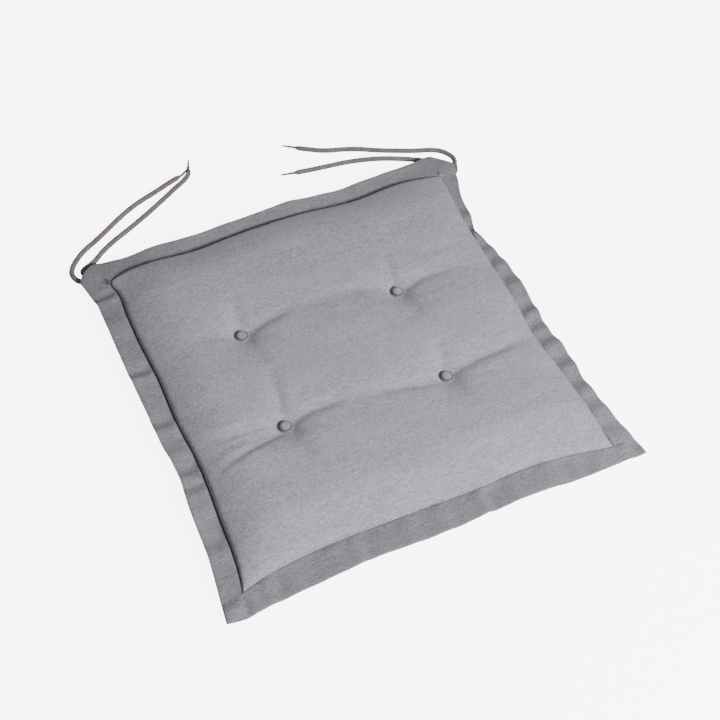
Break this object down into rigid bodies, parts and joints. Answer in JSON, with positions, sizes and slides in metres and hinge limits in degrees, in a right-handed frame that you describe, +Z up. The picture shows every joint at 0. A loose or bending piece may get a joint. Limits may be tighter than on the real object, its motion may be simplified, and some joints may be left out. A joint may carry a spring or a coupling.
{
  "type": "chair seat pad",
  "caption": "Square tufted seat cushion with a flat stitched flange all round, covered tufting buttons and a pair of tie cords at each back corner for fastening it to a chair.",
  "frame": {"origin": "centre of the pad's bounding box on the ground, without the tie cords", "axes": "+X to the sitter's left when seated facing -Y (right in the plan view with the ties at the top), +Y towards the tied back edge, +Z up"},
  "size_m": [0.5256, 0.6073, 0.042],
  "materials": {
    "grey_fabric": "woven melange canvas, matt",
    "cream_foam": "open-cell polyurethane foam, matt",
    "white_wadding": "bonded polyester wadding, matt",
    "grey_thread": "spun polyester sewing thread",
    "white_twine": "waxed tufting twine",
    "pressed_steel": "thin pressed sheet and wire",
    "taupe_cord": "braided polyester cord, matt",
    "fused_tip": "heat-fused cord end"
  },
  "bodies": {
    "pad": {"corner_tack_left": "grey_thread", "corner_tack_right": "grey_thread", "cover_bottom_panel": "grey_fabric", "cover_top_panel": "grey_fabric", "edge_seam_thread": "grey_thread", "flange_stitching_top": "grey_thread", "flange_stitching_under": "grey_thread", "foam_core": "cream_foam", "tuft_twine_back_left": "white_twine", "tuft_twine_back_right": "white_twine", "tuft_twine_front_left": "white_twine", "tuft_twine_front_right": "white_twine", "wadding_bottom": "white_wadding", "wadding_top": "white_wadding"},
    "tie_left": {"tie_cord_left_inner": "taupe_cord", "tie_cord_left_outer": "taupe_cord", "tie_tack_left": "grey_thread", "tie_tip_left_inner": "fused_tip", "tie_tip_left_outer": "fused_tip"},
    "tie_right": {"tie_cord_right_inner": "taupe_cord", "tie_cord_right_outer": "taupe_cord", "tie_tack_right": "grey_thread", "tie_tip_right_inner": "fused_tip", "tie_tip_right_outer": "fused_tip"},
    "button_top_back_left": {"button_back_top_back_left": "pressed_steel", "button_fabric_top_back_left": "grey_fabric", "button_shell_top_back_left": "pressed_steel"},
    "button_top_back_right": {"button_back_top_back_right": "pressed_steel", "button_fabric_top_back_right": "grey_fabric", "button_shell_top_back_right": "pressed_steel"},
    "button_top_front_left": {"button_back_top_front_left": "pressed_steel", "button_fabric_top_front_left": "grey_fabric", "button_shell_top_front_left": "pressed_steel"},
    "button_top_front_right": {"button_back_top_front_right": "pressed_steel", "button_fabric_top_front_right": "grey_fabric", "button_shell_top_front_right": "pressed_steel"},
    "button_under_back_left": {"button_back_under_back_left": "pressed_steel", "button_fabric_under_back_left": "grey_fabric", "button_shell_under_back_left": "pressed_steel"},
    "button_under_back_right": {"button_back_under_back_right": "pressed_steel", "button_fabric_under_back_right": "grey_fabric", "button_shell_under_back_right": "pressed_steel"},
    "button_under_front_left": {"button_back_under_front_left": "pressed_steel", "button_fabric_under_front_left": "grey_fabric", "button_shell_under_front_left": "pressed_steel"},
    "button_under_front_right": {"button_back_under_front_right": "pressed_steel", "button_fabric_under_front_right": "grey_fabric", "button_shell_under_front_right": "pressed_steel"}
  },
  "joints": [
    {"name": "tie_left_swing", "type": "hinge", "parent": "pad", "child": "tie_left", "pos_m": [-0.237, 0.2285, 0.0056], "axis": [0, 0, 1], "range_deg": [-20, 80]},
    {"name": "tie_right_swing", "type": "hinge", "parent": "pad", "child": "tie_right", "pos_m": [0.237, 0.226, 0.0056], "axis": [0, 0, 1], "range_deg": [-80, 10]},
    {"name": "button_top_back_left_turn", "type": "hinge", "parent": "pad", "child": "button_top_back_left", "pos_m": [-0.1136, 0.06566, 0.0305], "axis": [0, 0, 1], "range_deg": [-30, 30]},
    {"name": "button_top_back_right_turn", "type": "hinge", "parent": "pad", "child": "button_top_back_right", "pos_m": [0.08019, 0.05625, 0.0305], "axis": [0, 0, 1], "range_deg": [-30, 30]},
    {"name": "button_top_front_left_turn", "type": "hinge", "parent": "pad", "child": "button_top_front_left", "pos_m": [-0.11361, -0.06312, 0.0305], "axis": [0, 0, 1], "range_deg": [-30, 30]},
    {"name": "button_top_front_right_turn", "type": "hinge", "parent": "pad", "child": "button_top_front_right", "pos_m": [0.08019, -0.0723, 0.0305], "axis": [0, 0, 1], "range_deg": [-30, 30]},
    {"name": "button_under_back_left_turn", "type": "hinge", "parent": "pad", "child": "button_under_back_left", "pos_m": [-0.1136, 0.06566, 0.005], "axis": [0, 0, 1], "range_deg": [-30, 30]},
    {"name": "button_under_back_right_turn", "type": "hinge", "parent": "pad", "child": "button_under_back_right", "pos_m": [0.08019, 0.05625, 0.005], "axis": [0, 0, 1], "range_deg": [-30, 30]},
    {"name": "button_under_front_left_turn", "type": "hinge", "parent": "pad", "child": "button_under_front_left", "pos_m": [-0.11361, -0.06312, 0.005], "axis": [0, 0, 1], "range_deg": [-30, 30]},
    {"name": "button_under_front_right_turn", "type": "hinge", "parent": "pad", "child": "button_under_front_right", "pos_m": [0.08019, -0.0723, 0.005], "axis": [0, 0, 1], "range_deg": [-30, 30]}
  ]
}
